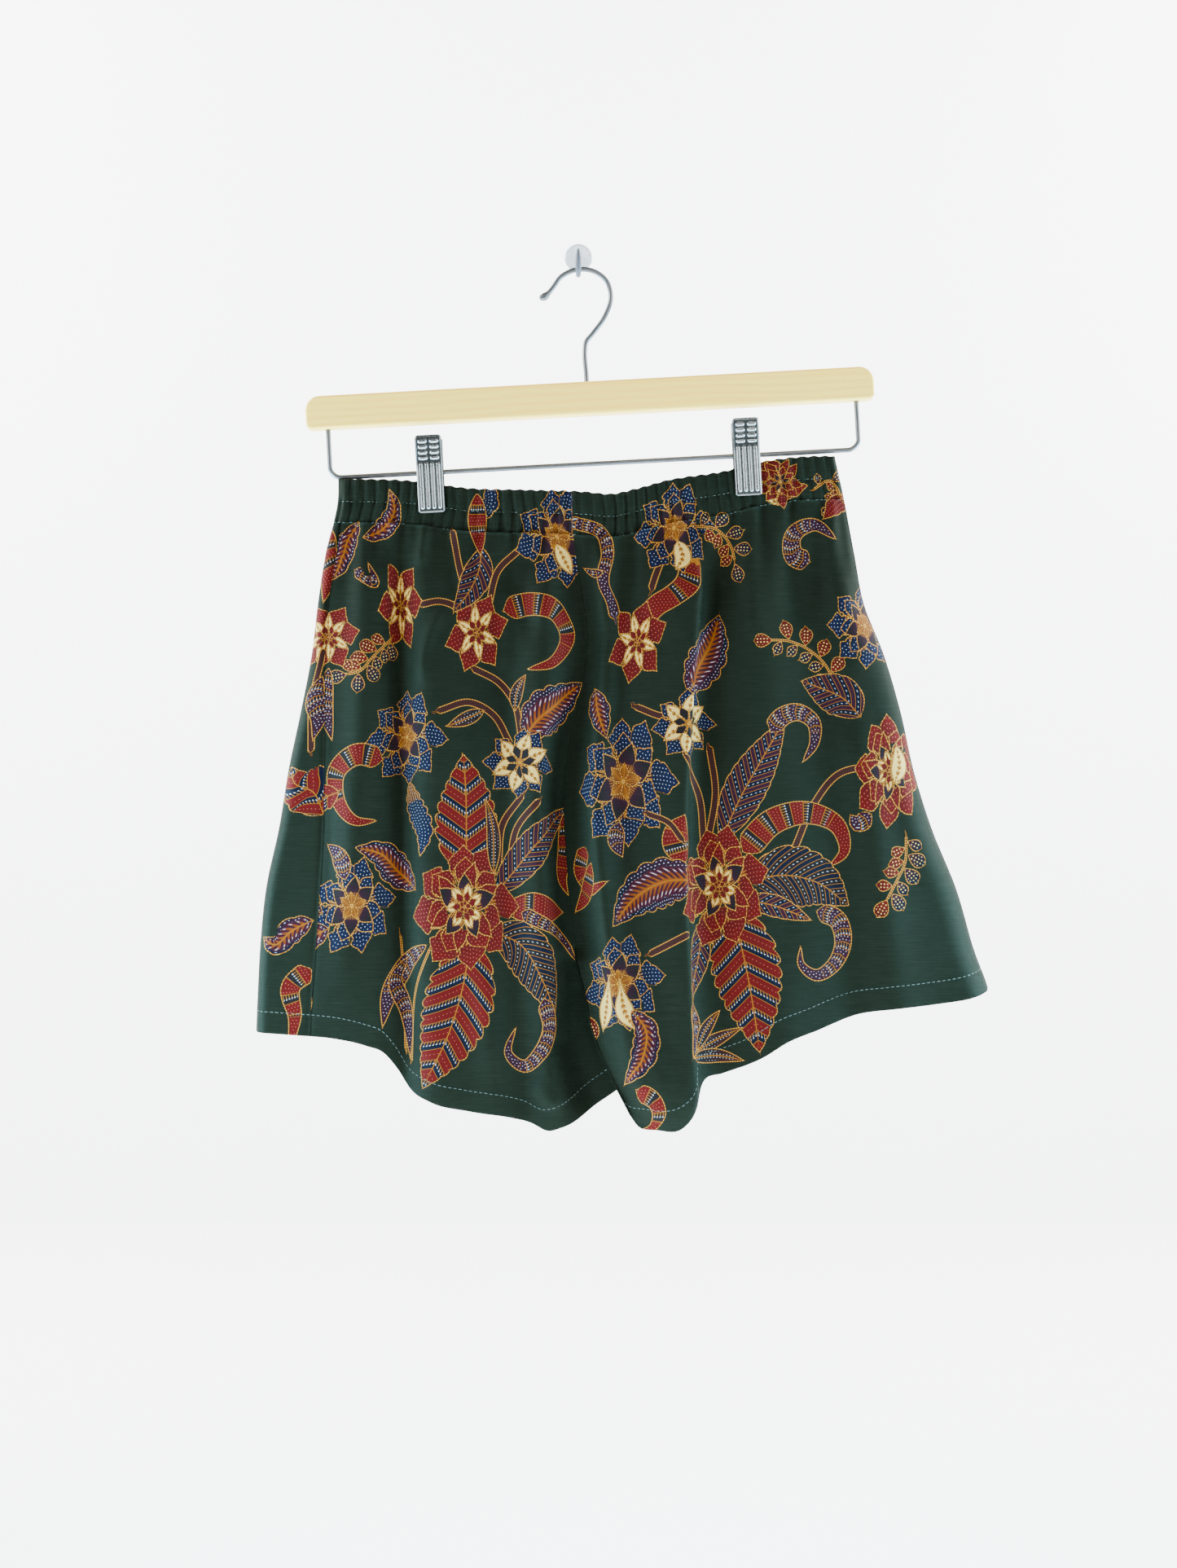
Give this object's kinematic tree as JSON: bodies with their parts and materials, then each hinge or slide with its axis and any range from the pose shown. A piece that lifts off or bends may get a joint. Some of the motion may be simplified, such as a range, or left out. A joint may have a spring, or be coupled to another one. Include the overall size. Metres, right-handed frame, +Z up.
{
  "type": "batik wide-leg shorts on a clip hanger with a wall hook",
  "caption": "Pull-on wide-leg batik shorts with a gathered elastic waist, clipped to a small wooden trouser hanger that hangs by its wire hook on a round wall hook.",
  "frame": {"origin": "centre of the wall hook's back face, where it sticks to the wall", "axes": "+Z up, +Y into the wall, +X to the viewer's right; the shorts' front faces -Y"},
  "size_m": [0.4541, 0.051, 0.5507],
  "materials": {
    "batik": "printed plain-weave rayon with a soft sheen",
    "pine": "pale satin-varnished pine",
    "chrome": "polished",
    "clear_plastic": "clear, glossy",
    "grey_plastic": "glossy"
  },
  "bodies": {
    "root": {"front_left": "batik", "front_right": "batik", "back_left": "batik", "back_right": "batik", "waist_casing_front": "batik", "waist_casing_back": "batik", "hanger_bar": "pine", "hanger_hook": "chrome", "clip_rail": "chrome", "clip_jaw_front_left": "chrome", "clip_jaw_front_right": "chrome", "clip_jaw_back_left": "chrome", "clip_jaw_back_right": "chrome", "clip_barrel_left": "chrome", "clip_barrel_right": "chrome", "wall_hook_plate": "clear_plastic", "wall_hook_peg": "grey_plastic"}
  },
  "joints": []
}
